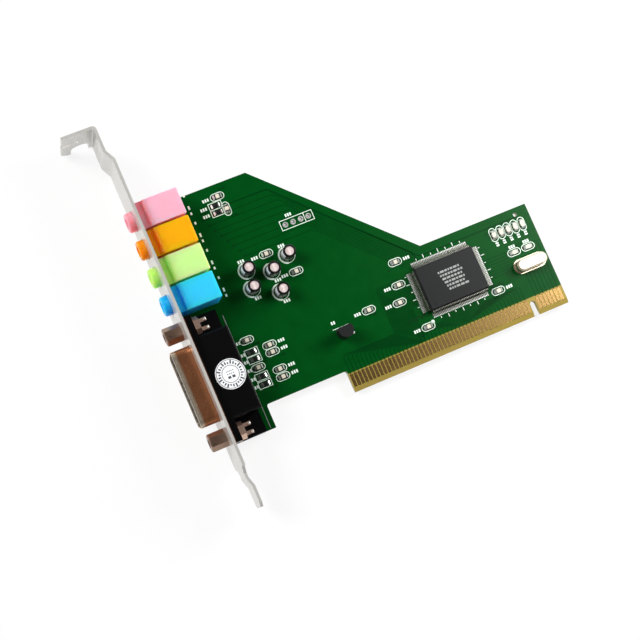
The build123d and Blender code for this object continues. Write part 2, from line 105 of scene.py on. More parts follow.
def colour_mix(tree, factor, first, second):
    """A blend of two colours, each a fixed colour or the output of another node."""
    blend = tree.nodes.new("ShaderNodeMix")
    blend.data_type = "RGBA"
    tree.links.new(factor, blend.inputs["Factor"])
    for name, colour in (("A", first), ("B", second)):
        if isinstance(colour, tuple):
            blend.inputs[name].default_value = colour
        else:
            tree.links.new(colour, blend.inputs[name])
    return blend.outputs["Result"]


def calculate(tree, operation, *values):
    """The output of a calculation, each value a number or the output of another node."""
    node = tree.nodes.new("ShaderNodeMath")
    node.operation = operation
    for socket, value in zip(node.inputs, values):
        if isinstance(value, float):
            socket.default_value = value
        else:
            tree.links.new(value, socket)
    return node.outputs["Value"]


def flatness(tree):
    """One on the faces that lie flat, nought on the others."""
    geometry = tree.nodes.new("ShaderNodeNewGeometry")
    parts = tree.nodes.new("ShaderNodeSeparateXYZ")
    tree.links.new(geometry.outputs["Normal"], parts.inputs["Vector"])
    size = calculate(tree, "ABSOLUTE", parts.outputs["Z"])
    return calculate(tree, "GREATER_THAN", size, FLAT_NORMAL)


def region_share(tree, place, region):
    """How far a point lies in a region.

    Each row of the region gives an axis, where it starts and where it is full, in millimetres.
    """
    axes = tree.nodes.new("ShaderNodeSeparateXYZ")
    tree.links.new(place.outputs["Object"], axes.inputs["Vector"])
    amount = None
    for axis, start, full in region:
        ramp = tree.nodes.new("ShaderNodeMapRange")
        ramp.inputs["From Min"].default_value = start * MM
        ramp.inputs["From Max"].default_value = full * MM
        tree.links.new(axes.outputs[axis], ramp.inputs["Value"])
        share = ramp.outputs["Result"]
        amount = share if amount is None else calculate(tree, "MULTIPLY", amount, share)
    return amount


def surface(name, colour, roughness, grain, metallic=0.0, tint=0.08, uneven=0.05,
            bump=0.0, depth=0.02, stretch=(1, 1, 1), gloss=0.5, edge_colour=None,
            region_colour=None, region=(), glow=None):
    """A material whose colour, gloss and relief vary with a noise of the given grain.

    It may have a second colour on its upright faces, and another in a region. Glow is how
    far light of each colour spreads in it, and depth the relief's height, in millimetres.
    """
    material = bpy.data.materials.new(name)
    material.use_nodes = True
    tree = material.node_tree
    shader = tree.nodes["Principled BSDF"]
    shader.inputs["Metallic"].default_value = metallic
    shader.inputs["Specular IOR Level"].default_value = gloss
    place = tree.nodes.new("ShaderNodeTexCoord")
    mapping = tree.nodes.new("ShaderNodeMapping")
    mapping.inputs["Scale"].default_value = stretch
    tree.links.new(place.outputs["Object"], mapping.inputs["Vector"])
    noise = tree.nodes.new("ShaderNodeTexNoise")
    noise.inputs["Scale"].default_value = grain
    noise.inputs["Detail"].default_value = NOISE_DETAIL
    tree.links.new(mapping.outputs["Vector"], noise.inputs["Vector"])
    base = linear(colour)
    result = colour_mix(tree, noise.outputs["Fac"], scaled(base, 1 - tint), scaled(base, 1 + tint))
    if edge_colour is not None:
        result = colour_mix(tree, flatness(tree), linear(edge_colour), result)
    if region_colour is not None:
        result = colour_mix(tree, region_share(tree, place, region), result, linear(region_colour))
    tree.links.new(result, shader.inputs["Base Color"])
    if glow is not None:
        shader.inputs["Subsurface Weight"].default_value = GLOW_SHARE
        shader.inputs["Subsurface Radius"].default_value = glow
        shader.inputs["Subsurface Scale"].default_value = MM
    spread = tree.nodes.new("ShaderNodeMapRange")
    spread.inputs["To Min"].default_value = max(LEAST_ROUGHNESS, roughness - uneven)
    spread.inputs["To Max"].default_value = min(1.0, roughness + uneven)
    tree.links.new(noise.outputs["Fac"], spread.inputs["Value"])
    tree.links.new(spread.outputs["Result"], shader.inputs["Roughness"])
    if bump:
        relief = tree.nodes.new("ShaderNodeBump")
        relief.inputs["Strength"].default_value = bump
        relief.inputs["Distance"].default_value = depth * MM
        tree.links.new(noise.outputs["Fac"], relief.inputs["Height"])
        tree.links.new(relief.outputs["Normal"], shader.inputs["Normal"])
    return material


# Regions of a second colour: bare laminate round the edge contacts, painted shade at the fronts of the
# jacks (a deeper colour where the bracket's shadow falls), and a painted highlight on the front rim of
# the port
LAMINATE_REGION = (("X", 41.0, 42.2), ("Y", 6.0, 5.7))
SHADED_FRONT_REGION = (("X", 5.2, 3.4),)
RIM_HIGHLIGHT_REGION = (("X", -4.2, -5.0),)

NICKEL = surface(
    "nickel", (244, 241, 235), roughness=0.30, metallic=0.62, grain=900, tint=0.05, uneven=0.07,
    bump=0.06, depth=0.01, stretch=(1, 0.12, 1), edge_colour=(208, 206, 201))
MASK = surface(
    "mask", (1, 67, 19), roughness=0.18, grain=260, tint=0.16, bump=0.06, depth=0.01, gloss=0.10,
    edge_colour=(150, 160, 112), region_colour=(150, 131, 64), region=LAMINATE_REGION)
COPPER = surface(
    "mask_over_copper", (1, 50, 15), roughness=0.18, grain=500, tint=0.12, uneven=0.04, bump=0.06,
    depth=0.01, gloss=0.08)
GOLD = surface(
    "gold", (154, 123, 76), roughness=0.24, metallic=0.96, grain=700, tint=0.10, uneven=0.06,
    bump=0.06, depth=0.01, stretch=(6, 0.5, 1))
# The jack plastics turn deeper in colour towards their fronts: painted shade of the bracket's shadow.
PINK = surface(
    "pink_plastic", (255, 177, 195), roughness=0.30, grain=1500, tint=0.03, uneven=0.04, bump=0.04,
    depth=0.01, gloss=0.35, region_colour=(255, 150, 160), region=SHADED_FRONT_REGION,
    glow=(6.0, 1.2, 1.5))
ORANGE = surface(
    "orange_plastic", (255, 171, 2), roughness=0.30, grain=1500, tint=0.03, uneven=0.04, bump=0.04,
    depth=0.01, gloss=0.35, region_colour=(255, 138, 0), region=SHADED_FRONT_REGION, glow=(6.0, 1.8, 0.2))
GREEN = surface(
    "green_plastic", (197, 251, 150), roughness=0.30, grain=1500, tint=0.03, uneven=0.04, bump=0.04,
    depth=0.01, gloss=0.35, region_colour=(176, 242, 110), region=SHADED_FRONT_REGION,
    glow=(3.0, 6.0, 1.2))
BLUE = surface(
    "blue_plastic", (52, 196, 252), roughness=0.30, grain=1500, tint=0.03, uneven=0.04, bump=0.04,
    depth=0.01, gloss=0.35, region_colour=(20, 164, 240), region=SHADED_FRONT_REGION, glow=(0.4, 3.0, 6.0))
TIN = surface(
    "tin", (222, 220, 214), roughness=0.32, metallic=0.75, grain=1200, tint=0.10, uneven=0.08,
    bump=0.06)
LEAD = surface(
    "lead_tin", (172, 170, 162), roughness=0.24, metallic=1.0, grain=1200, tint=0.06, uneven=0.06)
TERMINAL = surface(
    "terminal_tin", (150, 150, 142), roughness=0.26, metallic=1.0, grain=1200, tint=0.10,
    uneven=0.08, bump=0.06)
STRAP = surface(
    "strap_tin", (216, 182, 162), roughness=0.32, metallic=0.75, grain=1200, tint=0.12, uneven=0.08,
    bump=0.08)
# A paler, less metallic copy of the straps' tin: a painted highlight for the bends.
BEND_HIGHLIGHT = surface(
    "bend_tin_highlight", (246, 242, 234), roughness=0.30, metallic=0.40, grain=1200, tint=0.06, uneven=0.06)
SCREW = surface(
    "screw_steel", (150, 122, 104), roughness=0.30, metallic=0.85, grain=900, tint=0.12,
    uneven=0.08, bump=0.06)
# The shell is paler at its front rim: a painted highlight on the rounded edge.
SHELL = surface(
    "shell_steel", (190, 124, 84), roughness=0.26, metallic=0.85, grain=240, tint=0.10,
    region_colour=(240, 222, 196), region=RIM_HIGHLIGHT_REGION)
BLACK = surface(
    "black_plastic", (4, 4, 5), roughness=0.36, grain=2500, tint=0.15, uneven=0.06, bump=0.08,
    gloss=0.1)
RESIN = surface(
    "chip_resin", (22, 23, 24), roughness=0.46, grain=4000, tint=0.18, uneven=0.08, bump=0.15,
    depth=0.01, gloss=0.22)
SLEEVE = surface(
    "sleeve_film", (8, 8, 9), roughness=0.24, grain=900, tint=0.15, uneven=0.06, bump=0.06,
    gloss=0.4)
CAN = surface(
    "can_aluminium", (224, 206, 204), roughness=0.46, metallic=0.6, grain=1500, uneven=0.08,
    bump=0.06, depth=0.01)
BUNG = surface(
    "bung_rubber", (18, 18, 17), roughness=0.7, grain=2500, tint=0.15, uneven=0.08, bump=0.1,
    gloss=0.25)
CRYSTAL = surface(
    "crystal_steel", (236, 224, 196), roughness=0.15, metallic=0.95, grain=300, tint=0.03,
    uneven=0.04)
CERAMIC = surface(
    "capacitor_ceramic", (212, 204, 186), roughness=0.42, grain=2500, uneven=0.08, bump=0.06,
    depth=0.01)
GLAZE = surface(
    "resistor_glaze", (20, 20, 22), roughness=0.32, grain=2500, tint=0.15, uneven=0.06, bump=0.06,
    depth=0.01, gloss=0.3)
PAPER = surface(
    "sticker_paper", (240, 241, 242), roughness=0.5, grain=2500, tint=0.03, uneven=0.06, bump=0.06,
    depth=0.01, gloss=0.3)
PRINT = surface(
    "sticker_print", (72, 76, 84), roughness=0.55, grain=2500, tint=0.10, uneven=0.06, gloss=0.3)
INK = surface(
    "board_ink", (226, 240, 228), roughness=0.5, grain=3000, tint=0.05, uneven=0.08, bump=0.06,
    depth=0.01, gloss=0.3)
# The board's ink dimmed to grey: painted shade, for the print beside the port block.
SHADED_INK = surface(
    "shaded_grey_ink", (132, 138, 132), roughness=0.5, grain=3000, tint=0.05, uneven=0.08, bump=0.06,
    depth=0.01, gloss=0.3)
CHIP_INK = surface("chip_ink", (150, 152, 150), roughness=0.5, grain=3000, uneven=0.08, gloss=0.3)
STRIPE = surface("sleeve_stripe", (196, 198, 204), roughness=0.36, grain=1500, uneven=0.06, gloss=0.4)
SOLDER = surface(
    "solder", (214, 214, 212), roughness=0.30, metallic=0.75, grain=900, tint=0.12, uneven=0.10,
    bump=0.1, depth=0.04)
BRASS = surface(
    "socket_brass", (206, 170, 104), roughness=0.30, metallic=0.85, grain=1500, tint=0.10,
    uneven=0.08)
# Dark discs over the holes: painted shade of the holes.
HOLE_SHADE = surface("painted_hole_shade", (2, 34, 12), roughness=0.5, grain=2500, tint=0.2, uneven=0.1, gloss=0.2)

FINISHES = {
    "bracket": NICKEL, "circuit_board": MASK, "edge_contacts_front": GOLD, "edge_contacts_back": GOLD,
    "jack_housing_pink": PINK, "jack_housing_orange": ORANGE, "jack_housing_green": GREEN,
    "jack_housing_blue": BLUE, "jack_terminals": TIN, "port_shell": SHELL, "port_insulator": BLACK,
    "port_body": BLACK, "port_contacts": TIN, "ground_strap_upper": STRAP, "ground_strap_lower": STRAP,
    "jackscrews": SCREW, "port_sticker": PAPER, "capacitor_bungs": BUNG, "capacitor_leads": TIN,
    "chip_body": RESIN, "chip_leads": LEAD, "crystal_can": CRYSTAL, "crystal_base": CRYSTAL,
    "crystal_leads": TIN, "regulator_body": RESIN, "regulator_leads": TIN,
    "chip_capacitor_bodies": CERAMIC, "chip_capacitor_ends": TERMINAL, "chip_resistor_bodies": GLAZE,
    "chip_resistor_ends": TERMINAL,
}
CAPACITOR_COUNT = 5
CAPACITORS = range(1, CAPACITOR_COUNT + 1)
for number in CAPACITORS:
    FINISHES[f"capacitor_can_{number}"] = CAN
    FINISHES[f"capacitor_sleeve_{number}"] = SLEEVE
for node, material in FINISHES.items():
    nodes[node].data.materials.clear()
    nodes[node].data.materials.append(material)


# Shapes

# Corners in the section of a flat line, a stripe or a tube
SECTION = 4
LEAST_MITRE = 0.3
OVAL_STEPS = 10

# Faces of a box by its corners, four below and four above
BOX_FACES = ((0, 1, 2, 3), (4, 5, 6, 7), (0, 1, 5, 4), (1, 2, 6, 5), (2, 3, 7, 6), (3, 0, 4, 7))

# Decimal places that tell points apart, and that put pieces in order
POINT_DIGITS = 3
ORDER_DIGITS = 2


class Shape:
    """Collects the corners and faces of one piece, in millimetres."""

    def __init__(self):
        self.corners = []
        self.faces = []

    def prism(self, outline, low, high):
        """A flat plate: an outline, anticlockwise, between two heights."""
        first = len(self.corners)
        count = len(outline)
        self.corners += [(x, y, low) for x, y in outline]
        self.corners += [(x, y, high) for x, y in outline]
        self.faces.append([first + i for i in reversed(range(count))])
        self.faces.append([first + count + i for i in range(count)])
        for i in range(count):
            after = (i + 1) % count
            self.faces.append([first + i, first + after, first + count + after, first + count + i])

    def bar(self, x, y, long, wide, low, high):
        """A small plate with its sides along X and Y, round a centre."""
        self.prism(rectangle(x, y, long, wide), low, high)

    def strip(self, path, width, low, high, closed=False):
        """A flat line of constant width along a path, mitred at its corners."""
        points = [Vector(point) for point in path]
        count = len(points)
        first = len(self.corners)
        for i, point in enumerate(points):
            before = points[i - 1] if i or closed else None
            after = points[(i + 1) % count] if i < count - 1 or closed else None
            sides = []
            if before is not None:
                sides.append((point - before).normalized())
            if after is not None:
                sides.append((after - point).normalized())
            normals = [Vector((-side.y, side.x)) for side in sides]
            mean = sum(normals, Vector((0, 0))).normalized()
            offset = mean * (width / 2 / max(LEAST_MITRE, mean.dot(normals[0])))
            for place, height in ((point + offset, low), (point - offset, low),
                                  (point - offset, high), (point + offset, high)):
                self.corners.append((place.x, place.y, height))
        for i in range(count if closed else count - 1):
            here = first + SECTION * i
            there = first + SECTION * ((i + 1) % count)
            for a in range(SECTION):
                b = (a + 1) % SECTION
                self.faces.append([here + b, here + a, there + a, there + b])
        if not closed:
            last = first + SECTION * (count - 1)
            self.faces.append([first + a for a in range(SECTION)])
            self.faces.append([last + a for a in reversed(range(SECTION))])

    def lathe(self, profile, centre, turns):
        """A turned form about a line along Z: a profile of radius and height, from axis to axis."""
        x, y = centre
        rings = []
        for radius, height in profile:
            first = len(self.corners)
            if radius == 0:
                self.corners.append((x, y, height))
                rings.append([first])
                continue
            self.corners += [(a, b, height) for a, b in circle(x, y, radius, turns)]
            rings.append([first + i for i in range(turns)])
        for lower, upper in zip(rings, rings[1:]):
            for i in range(turns):
                after = (i + 1) % turns
                if len(lower) == 1:
                    self.faces.append([lower[0], upper[after], upper[i]])
                elif len(upper) == 1:
                    self.faces.append([lower[i], lower[after], upper[0]])
                else:
                    self.faces.append([lower[i], lower[after], upper[after], upper[i]])

    def make(self, name, material, slot, smooth=False):
        """Turns what was collected into a piece of the scene."""
        mesh = bpy.data.meshes.new(name)
        mesh.from_pydata([Vector(corner) * MM for corner in self.corners], [], self.faces)
        mesh.validate()
        mesh.materials.append(material)
        for face in mesh.polygons:
            face.use_smooth = smooth
        piece = bpy.data.objects.new(name, mesh)
        bpy.context.scene.collection.objects.link(piece)
        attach(piece, "root")


def circle(x, y, radius, count, start=0.0, turn=FULL_TURN):
    """Points round a circle, or along part of one."""
    steps = count if turn == FULL_TURN else count - 1
    angles = [start + turn * i / steps for i in range(count)]
    return [(x + radius * math.cos(angle), y + radius * math.sin(angle)) for angle in angles]


def stadium(x, y, long, wide, upright):
    """An oval with straight sides, round a centre."""
    half = (long - wide) / 2
    points = []
    for end in (1, -1):
        for i in range(OVAL_STEPS + 1):
            angle = math.pi * i / OVAL_STEPS - math.pi / 2
            points.append((end * (half + wide / 2 * math.cos(angle)), end * wide / 2 * math.sin(angle)))
    if upright:
        points = [(-b, a) for a, b in points]
    return [(x + a, y + b) for a, b in points]


def rectangle(x, y, long, wide, upright=False):
    """The corners of a rectangle round a centre."""
    if upright:
        long, wide = wide, long
    left, right = x - long / 2, x + long / 2
    near, far = y - wide / 2, y + wide / 2
    return [(left, near), (right, near), (right, far), (left, far)]


def islands(node):
    """The separate pieces of a node, each as its lowest and highest corner in millimetres."""
    mesh = nodes[node].data
    leader = {}

    def find(key):
        """The point that stands for all the points joined to this one."""
        while leader[key] != key:
            leader[key] = leader[leader[key]]
            key = leader[key]
        return key

    keys = []
    for vertex in mesh.vertices:
        key = tuple(round(value / MM, POINT_DIGITS) for value in vertex.co)
        leader.setdefault(key, key)
        keys.append(key)
    for face in mesh.polygons:
        first = find(keys[face.vertices[0]])
        for index in face.vertices[1:]:
            leader[find(keys[index])] = first
    groups = {}
    for key in leader:
        groups.setdefault(find(key), []).append(key)
    boxes = []
    for points in groups.values():
        axes = list(zip(*points))
        boxes.append((Vector([min(axis) for axis in axes]), Vector([max(axis) for axis in axes])))
    return sorted(boxes, key=lambda box: (round(box[0].x, ORDER_DIGITS), round(box[0].y, ORDER_DIGITS)))


def middle(box):
    """The centre of a box given by two corners."""
    return (box[0] + box[1]) / 2


# Print, copper lines, solder and plated holes, collected from all over the board

ink = Shape()
copper = Shape()
solder = Shape()
holes = Shape()
INK_LINE = 0.2
TRACE_LINE = 0.2
CORNER_CUT = 0.6
CUT_SHARE = 0.45
LABEL_PITCH = 0.75
LABEL_WIDE = 0.5
LABEL_TALL = 0.95
SHORT_LABEL = 2
LONG_LABEL = 3
VIA_RADIUS = 0.36
VIA_HOLE = 0.16
VIA_EDGE_RISE = 0.03
VIA_RISE = 0.04
VIA_MOUTH_RISE = 0.05
VIA_TURNS = 12
VIA_MOUTH_TURNS = 10


def ink_bar(x, y, long, wide):
    """A printed bar on the board."""
    ink.bar(x, y, long, wide, BOARD_TOP, INK_TOP)


def ink_line(path, closed=False, width=INK_LINE):
    """A printed line on the board."""
    ink.strip(path, width, BOARD_TOP, INK_TOP, closed)


def ink_label(x, y, count, upright=False):
    """A generic printed label: a short row of plain bars."""
    for i in range(count):
        along = (i - (count - 1) / 2) * LABEL_PITCH
        if upright:
            ink_bar(x, y + along, LABEL_TALL, LABEL_WIDE)
        else:
            ink_bar(x + along, y, LABEL_WIDE, LABEL_TALL)


def cut_corners(path):
    """A path with a slanting cut across each of its corners."""
    points = [Vector(point) for point in path]
    result = [points[0]]
    for before, point, after in zip(points, points[1:], points[2:]):
        for side in (before - point, after - point):
            result.append(point + side.normalized() * min(CORNER_CUT, side.length * CUT_SHARE))
    result.append(points[-1])
    return result


def trace(path, width=TRACE_LINE):
    """A copper line under the mask of the component side."""
    copper.strip(cut_corners(path), width, BOARD_TOP, COPPER_TOP)


def trace_under(path, width=TRACE_LINE):
    """A copper line under the mask of the solder side."""
    copper.strip(cut_corners(path), width, COPPER_UNDER, BOARD_UNDER)


def via(x, y):
    """A plated hole through the board, under the mask: a rim and a mouth on each side. The mouth is a
    dark disc, painted shade of the hole.
    """
    for face, out in ((BOARD_TOP, 1), (BOARD_UNDER, -1)):
        rim_top = face + out * VIA_RISE
        mouth_top = face + out * VIA_MOUTH_RISE
        rim = [(0, face), (VIA_RADIUS, face), (VIA_RADIUS, face + out * VIA_EDGE_RISE),
               (VIA_HOLE, rim_top), (0, rim_top)]
        mouth = [(0, face), (VIA_HOLE, face), (VIA_HOLE, mouth_top), (0, mouth_top)]
        if out < 0:
            rim.reverse()
            mouth.reverse()
        copper.lathe(rim, (x, y), VIA_TURNS)
        holes.lathe(mouth, (x, y), VIA_MOUTH_TURNS)


# Chip parts: solder, printed outlines, labels and a short copper line each

chip_low, chip_high = (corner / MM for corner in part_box("chip_body"))
chip_middle = (chip_low + chip_high) / 2

PART_OVAL = (4.3, 2.15)
PART_BOX = (4.1, 2.1)
FIRST_COLUMN_X = 20.0
SECOND_COLUMN_X = (22.0, 25.0)
SECOND_COLUMN_TOP = 30.0
TAIL_X = 95.0
PAIR_X = 103.0
PAIR_Y = 25.0
ABOVE_CHIP = 8.0
LEFT_OF_CHIP = 15.0
LABEL_SIDE = 3.8
FIRST_LABEL_SIDE = 2.8
LABEL_END = 3.1
LABEL_OVER = 1.85
FILLET_REACH = 0.45
FILLET_SHARE = 0.6
FILLET_TOE = 0.04
STUB_TURN_X = 60.0
STUB_ALONG = 2.2
STUB_ASIDE = (-1.8, 1.8)


def part_label(x, y, upright):
    """The printed label of a small part: below, above, or to one side of it."""
    if upright:
        if x > TAIL_X:
            ink_label(x, y - LABEL_END, SHORT_LABEL, True)
        return
    if x > PAIR_X and y < PAIR_Y:
        ink_label(x, y + LABEL_OVER, LONG_LABEL)
        return
    if x < FIRST_COLUMN_X:
        ink_label(x - FIRST_LABEL_SIDE, y, SHORT_LABEL)
        return
    in_second_column = SECOND_COLUMN_X[0] < x < SECOND_COLUMN_X[1] and y < SECOND_COLUMN_TOP
    above_chip = y > chip_middle.y + ABOVE_CHIP and x > chip_middle.x - LEFT_OF_CHIP
    side = 1 if in_second_column or above_chip or x > chip_middle.x else -1
    ink_label(x + side * LABEL_SIDE, y, LONG_LABEL)


def chip_parts(kind):
    """The centre and direction of each small part, and its two tinned ends."""
    ends = islands(f"chip_{kind}_ends")
    parts = []
    for body in islands(f"chip_{kind}_bodies"):
        centre = middle(body)
        near = sorted(ends, key=lambda end: (middle(end) - centre).length)[:2]
        gap = middle(near[1]) - middle(near[0])
        parts.append((centre, abs(gap.y) > abs(gap.x), near))
    return parts


def fillet(box, centre, upright):
    """The solder at one end of a small part: a wedge that runs down onto its pad."""
    low, high = box
    if upright:
        out = 1 if middle(box).y > centre.y else -1
        face = high.y if out > 0 else low.y
        toe = face + out * FILLET_REACH
        ring = [(low.x, face), (high.x, face), (high.x, toe), (low.x, toe)]
    else:
        out = 1 if middle(box).x > centre.x else -1
        face = high.x if out > 0 else low.x
        toe = face + out * FILLET_REACH
        ring = [(face, low.y), (face, high.y), (toe, high.y), (toe, low.y)]
    rise = (high.z - low.z) * FILLET_SHARE
    rises = (rise, rise, FILLET_TOE, FILLET_TOE)
    first = len(solder.corners)
    solder.corners += [(x, y, BOARD_TOP) for x, y in ring]
    solder.corners += [(x, y, BOARD_TOP + up) for (x, y), up in zip(ring, rises)]
    for face in BOX_FACES:
        solder.faces.append([first + corner for corner in face])


for kind, draw, outline in (("capacitor", stadium, PART_OVAL), ("resistor", rectangle, PART_BOX)):
    for centre, upright, ends in chip_parts(kind):
        ink_line(draw(centre.x, centre.y, *outline, upright), closed=True)
        for end in ends:
            fillet(end, centre, upright)
        part_label(centre.x, centre.y, upright)
        direction = -1 if centre.x > STUB_TURN_X else 1
        start = middle(ends[0])
        stop = (start.x + direction * STUB_ALONG, start.y + chance.choice(STUB_ASIDE))
        trace([(start.x, start.y), (start.x, stop[1]), stop])
        via(*stop)


# Electrolytic capacitors: scored tops, sleeve stripes and printed rings

LIP_SHARE = 0.66
TOP_ROWS = 14
TOP_TURNS = 64
TOP_RISE = 0.05
TOP_POWER = 6
SCORE_WIDTH = 0.14
SCORE_DEPTH = 0.08
SCORE_SHARE = 0.8
STRIPE_STEPS = 12
STRIPE_HALF = math.radians(34)
STRIPE_INNER = 0.002
STRIPE_OUTER = 0.03
STRIPE_FOOT = 0.5
STRIPE_HEAD = 0.4
RING_RADIUS = 2.5
RING_LINE = 0.14
RING_POINTS = 40
ARC_LINE = 0.5
ARC_POINTS = 24
ARC_START = math.radians(100)
ARC_TURN = math.radians(160)
LABEL_SHIFT = 0.6
LABEL_UP = 3.2
LABELS_BELOW = (3, 4, 5)


def capacitor_top(x, y, top, lip):
    """The end of a can: slightly domed, with a scored cross."""
    cap = Shape()
    cap.corners.append((x, y, top + TOP_RISE - SCORE_DEPTH))
    for row in range(1, TOP_ROWS + 1):
        reach = lip * row / TOP_ROWS
        dome = TOP_RISE * (1 - (row / TOP_ROWS) ** TOP_POWER)
        for a, b in circle(0, 0, reach, TOP_TURNS):
            score = min(abs(a), abs(b)) if reach < lip * SCORE_SHARE else SCORE_WIDTH
            sink = SCORE_DEPTH * max(0.0, 1 - score / SCORE_WIDTH)
            cap.corners.append((x + a, y + b, top + dome - sink))
    for i in range(TOP_TURNS):
        after = (i + 1) % TOP_TURNS
        cap.faces.append([0, 1 + i, 1 + after])
        for row in range(TOP_ROWS - 1):
            here = 1 + row * TOP_TURNS
            there = here + TOP_TURNS
            cap.faces.append([here + i, there + i, there + after, here + after])
    return cap


def sleeve_stripe(x, y, radius, low, high):
    """The printed stripe down one side of a sleeve."""
    stripe = Shape()
    section = ((radius + STRIPE_INNER, low), (radius + STRIPE_OUTER, low),
               (radius + STRIPE_OUTER, high), (radius + STRIPE_INNER, high))
    for i in range(STRIPE_STEPS + 1):
        angle = math.pi - STRIPE_HALF + 2 * STRIPE_HALF * i / STRIPE_STEPS
        for reach, height in section:
            stripe.corners.append((x + reach * math.cos(angle), y + reach * math.sin(angle), height))
    for i in range(STRIPE_STEPS):
        here = SECTION * i
        there = here + SECTION
        for a in range(SECTION):
            b = (a + 1) % SECTION
            stripe.faces.append([here + a, here + b, there + b, there + a])
    last = SECTION * STRIPE_STEPS
    stripe.faces.append(list(range(SECTION)))
    stripe.faces.append([last + a for a in reversed(range(SECTION))])
    return stripe


for number in CAPACITORS:
    low, high = (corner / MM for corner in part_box(f"capacitor_can_{number}"))
    sleeve_low, sleeve_high = (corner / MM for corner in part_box(f"capacitor_sleeve_{number}"))
    x, y = (low.x + high.x) / 2, (low.y + high.y) / 2
    radius = (sleeve_high.x - sleeve_low.x) / 2
    cap = capacitor_top(x, y, high.z, radius * LIP_SHARE)
    cap.make(f"capacitor_top_{number}", CAN, "can_aluminium", True)
    stripe = sleeve_stripe(x, y, radius, sleeve_low.z + STRIPE_FOOT, sleeve_high.z - STRIPE_HEAD)
    stripe.make(f"capacitor_stripe_{number}", STRIPE, "sleeve_film", True)
    ink_line(circle(x, y, RING_RADIUS, RING_POINTS), closed=True, width=RING_LINE)
    ink_line(circle(x, y, RING_RADIUS, ARC_POINTS, ARC_START, ARC_TURN), width=ARC_LINE)
    side = 1 if number in LABELS_BELOW else -1
    ink_label(x + side * LABEL_SHIFT, y - side * LABEL_UP, LONG_LABEL)


# Solder round the leads that go through the board

JOINT_RADIUS = 0.95
JOINT_TIP = 0.12
JOINT_TOE = 0.04
JOINT_TURNS = 16

# Radius, and height as a share of the way from the tip to the board
JOINT_STEPS = ((0.3, 0.0), (0.42, 0.4), (0.62, 0.75))


def joint(x, y, tip):
    """A cone of solder on the solder side, round a lead that ends at the given height."""
    end = tip + JOINT_TIP
    profile = [(0, end)]
    profile += [(radius, end + (BOARD_UNDER - end) * share) for radius, share in JOINT_STEPS]
    profile += [(JOINT_RADIUS, BOARD_UNDER - JOINT_TOE), (JOINT_RADIUS, BOARD_UNDER), (0, BOARD_UNDER)]
    solder.lathe(profile, (x, y), JOINT_TURNS)


for node in ("capacitor_leads", "crystal_leads", "regulator_leads", "jack_terminals", "port_contacts"):
    for box in islands(node):
        if box[0].z < BOARD_UNDER:
            joint(middle(box).x, middle(box).y, box[0].z)


# Chip: a tinned pad under each foot, printed counting marks and a dot at the first lead

leads_low, leads_high = (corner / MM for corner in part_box("chip_leads"))
feet = {"left": [], "right": [], "lower": [], "upper": []}
FOOT_OUT = 0.3
PAD_LONG = 1.5
PAD_WIDE = 0.3
PAD_TOE = 0.45
PAD_SHIFT = PAD_TOE - PAD_LONG / 2
TICK_STEP = 5
TICK_LINE = 0.2
TICK_GAP = 0.7
TICK_SHORT = 0.6
TICK_LONG = 1.1
FIRST_DOT = 0.55
DOT_GAP = 1.3
DOT_POINTS = 18


def tinned_pad(x, y, long, wide):
    """A tinned pad on the board."""
    solder.bar(x, y, long, wide, BOARD_TOP, PAD_TOP)


for box in islands("chip_leads"):
    centre = middle(box)
    if box[1].x > chip_high.x + FOOT_OUT:
        feet["right"].append(centre.y)
        tinned_pad(box[1].x + PAD_SHIFT, centre.y, PAD_LONG, PAD_WIDE)
    elif box[0].x < chip_low.x - FOOT_OUT:
        feet["left"].append(centre.y)
        tinned_pad(box[0].x - PAD_SHIFT, centre.y, PAD_LONG, PAD_WIDE)
    elif box[1].y > chip_high.y + FOOT_OUT:
        feet["upper"].append(centre.x)
        tinned_pad(centre.x, box[1].y + PAD_SHIFT, PAD_WIDE, PAD_LONG)
    else:
        feet["lower"].append(centre.x)
        tinned_pad(centre.x, box[0].y - PAD_SHIFT, PAD_WIDE, PAD_LONG)
for row in feet.values():
    row.sort()


def ticks(side):
    """Printed counting marks beside a row of leads, every other one longer."""
    for order, index in enumerate(range(TICK_STEP - 1, len(feet[side]), TICK_STEP)):
        long = TICK_LONG if order % 2 else TICK_SHORT
        reach = TICK_GAP + long / 2
        along = feet[side][index]
        if side == "upper":
            ink_bar(along, leads_high.y + reach, TICK_LINE, long)
        elif side == "lower":
            ink_bar(along, leads_low.y - reach, TICK_LINE, long)
        elif side == "right":
            ink_bar(leads_high.x + reach, along, long, TICK_LINE)
        else:
            ink_bar(leads_low.x - reach, along, long, TICK_LINE)


for side in feet:
    ticks(side)
dot = circle(leads_low.x + DOT_GAP, leads_low.y - DOT_GAP, FIRST_DOT, DOT_POINTS)
ink.prism(dot, BOARD_TOP, INK_TOP)

# Generic marking on the chip: rows of plain bars
chip_print = Shape()
MARK_ROWS = 6
MARK_PITCH = 1.15
MARK_TALL = 0.62
MARK_GAP = 0.28
MARK_WIDTHS = (0.5, 0.8, 1.2, 0.65)
MARK_START = -3.6
MARK_STOP = 3.6
MARK_THICK = 0.01
for row in range(MARK_ROWS):
    along = MARK_START + MARK_GAP * row
    height = chip_middle.y + MARK_PITCH * ((MARK_ROWS - 1) / 2 - row)
    while along < MARK_STOP:
        wide = chance.choice(MARK_WIDTHS)
        chip_print.bar(chip_middle.x + along + wide / 2, height, wide, MARK_TALL,
                       chip_high.z, chip_high.z + MARK_THICK)
        along += wide + MARK_GAP
chip_print.make("chip_print", CHIP_INK, "sticker_paper")


# Copper lines from the edge contacts to the chip

